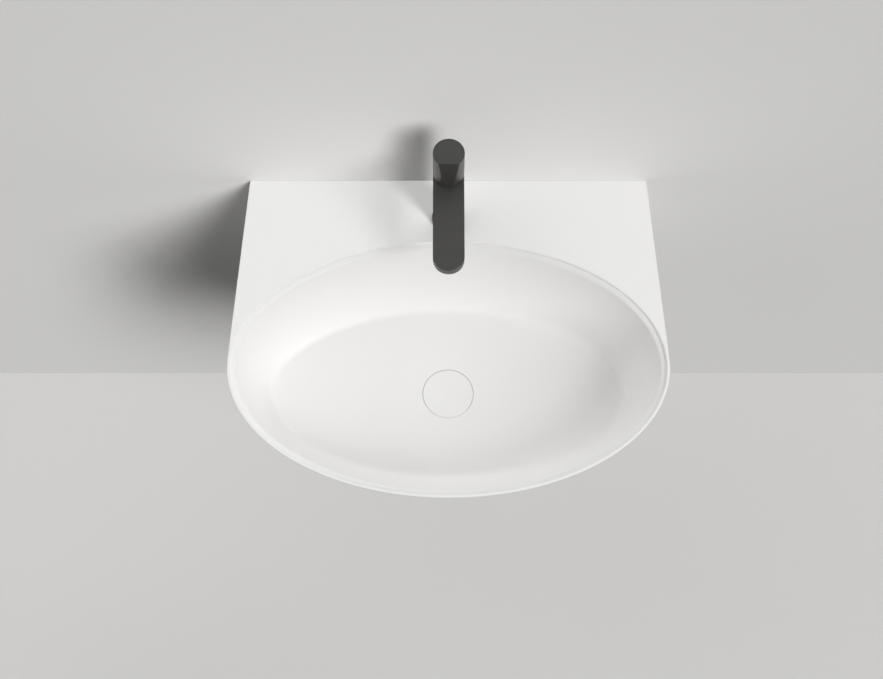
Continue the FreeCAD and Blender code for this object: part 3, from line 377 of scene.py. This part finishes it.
# Turned brass: the cover's holder and stem in the waste, and the tap's inlet block, shank, nuts and cartridge stem.
# It comes bare from the lathe, with fine tool marks round the axis and a tarnish that differs from place to place.
brass, add, place = start_material("turned_brass")
along = add("ShaderNodeMapping", inputs={"Vector": place, "Scale": (30, 30, 5200)}).outputs["Vector"]
tool_marks = noise(add, along, scale=1.0, detail=2.0)
tarnish = noise(add, place, scale=55.0, detail=5.0)
brass_tone = blend(add, tarnish, (0.80, 0.63, 0.36, 1), (0.66, 0.48, 0.25, 1))
relief = bump(add, tool_marks, strength=0.25, distance=0.0001)
set_skin(add, brass_tone, ramp(add, tarnish, low=0.2, high=0.42), Metallic=1.0, Normal=relief)
coat(brass, "drain_cover_holder", "drain_stem", "tap_inlet_block", "tap_cartridge_nut", "tap_cartridge_stem")

# Tap: body with its flat spout, base ring, handle and aerator sleeve, cast or turned in brass and coated graphite.
# The coat is a thin satin film over brushed metal, so its gloss wanders a little and a fine grain shows close up.
graphite, add, place = start_material("graphite_coat")
drift = noise(add, place, scale=14.0, detail=4.0)
grain = noise(add, place, scale=1600.0, detail=2.0)
coat_tone = blend(add, drift, (0.056, 0.055, 0.053, 1), (0.05, 0.049, 0.047, 1))
relief = bump(add, grain, strength=0.05, distance=0.0002)
set_skin(add, coat_tone, ramp(add, grain, low=0.34, high=0.42), Normal=relief)
coat(graphite, "tap_base_ring", "tap_body", "tap_handle", "tap_aerator_housing")

# Steel fixings: the washer under the deck and the grub screw in the handle's back, both turned and zinc-plated.
# The washer keeps faint rings from the lathe, and the screw has a hexagon socket.
tap_axis = (0, -0.059)
steel, add, place = start_material("plated_steel")
on_axis = (-tap_axis[0], -tap_axis[1], 0)
centred = add("ShaderNodeMapping", inputs={"Vector": place, "Location": on_axis}).outputs["Vector"]
rings = add("ShaderNodeTexWave", {"wave_type": "RINGS", "rings_direction": "Z"}, {
    "Vector": centred,
    "Scale": 350.0,
    "Distortion": 3.0,
    "Detail": 3.0,
}).outputs["Fac"]
plating = noise(add, place, scale=120.0, detail=4.0)
steel_tone = blend(add, plating, (0.62, 0.62, 0.61, 1), (0.52, 0.52, 0.53, 1))
relief = bump(add, rings, strength=0.1, distance=0.0001)
set_skin(add, steel_tone, ramp(add, rings, low=0.24, high=0.4), Metallic=1.0, Normal=relief)
coat(steel, "tap_clamp_washer")

screw_radius, screw_length = 0.0025, 0.008
socket_corner, socket_depth = 0.00144, 0.0025
socket_points_per_flat = 4
rim_points = 6 * socket_points_per_flat
grub_screw = bmesh.new()
bmesh.ops.create_circle(grub_screw, segments=6, radius=socket_corner)
bmesh.ops.subdivide_edges(grub_screw, edges=grub_screw.edges, cuts=socket_points_per_flat - 1)
socket_edges = grub_screw.edges[:]
bmesh.ops.create_circle(grub_screw, segments=rim_points, radius=screw_radius)
rim_edges = [edge for edge in grub_screw.edges if edge not in socket_edges]
bmesh.ops.bridge_loops(grub_screw, edges=socket_edges + rim_edges)
for edges, depth in ((socket_edges, socket_depth), (rim_edges, screw_length)):
    walls = bmesh.ops.extrude_edge_only(grub_screw, edges=edges)["geom"]
    foot = [point for point in walls if isinstance(point, bmesh.types.BMVert)]
    bmesh.ops.translate(grub_screw, verts=foot, vec=(0, 0, -depth))
bmesh.ops.holes_fill(grub_screw, edges=grub_screw.edges, sides=rim_points)
screw_face = (0, -0.047, 0.2451)
screw_place = Matrix.Translation(screw_face) @ Matrix.Rotation(math.radians(-90), 4, "X")
bmesh.ops.transform(grub_screw, matrix=screw_place, verts=grub_screw.verts)
finish_piece("handle_grub_screw", grub_screw, steel, "steel", "handle", "tap_handle_screw")

# Tap shank and clamp nut: a threaded brass tube screwed into the foot of the body, through the tap hole.
# The nut runs up it from below and clamps the washer, the seal and the deck against the base ring.
shank_bore, shank_root, shank_crest = 0.012, 0.01395, 0.0149
shank_foot, shank_thread_top, shank_top = 0.01, 0.042, 0.0895
shank_nose, shank_nose_top = 0.0134, 0.0106
tap_shank = bmesh.new()
turn_outline(tap_shank, tap_axis, [
    (shank_bore, shank_foot), (shank_nose, shank_foot), (shank_root, shank_nose_top), (shank_root, shank_thread_top),
    (shank_crest, shank_thread_top + thread_runout), (shank_crest, shank_top - edge_break),
    (shank_crest - edge_break, shank_top), (shank_bore, shank_top),
])
wind_thread(tap_shank, tap_axis, shank_root, shank_crest, low=0.0102, high=0.0417, pitch=0.0015)
finish_piece("threaded_shank", tap_shank, brass, "brass", "basin", "tap_shank")
clamp_nut = hexagon_nut(tap_axis, flats=0.041, bore=0.0151, low=0.03, high=0.04)
finish_piece("clamp_nut", clamp_nut, brass, "brass", "basin", "tap_clamp_nut")
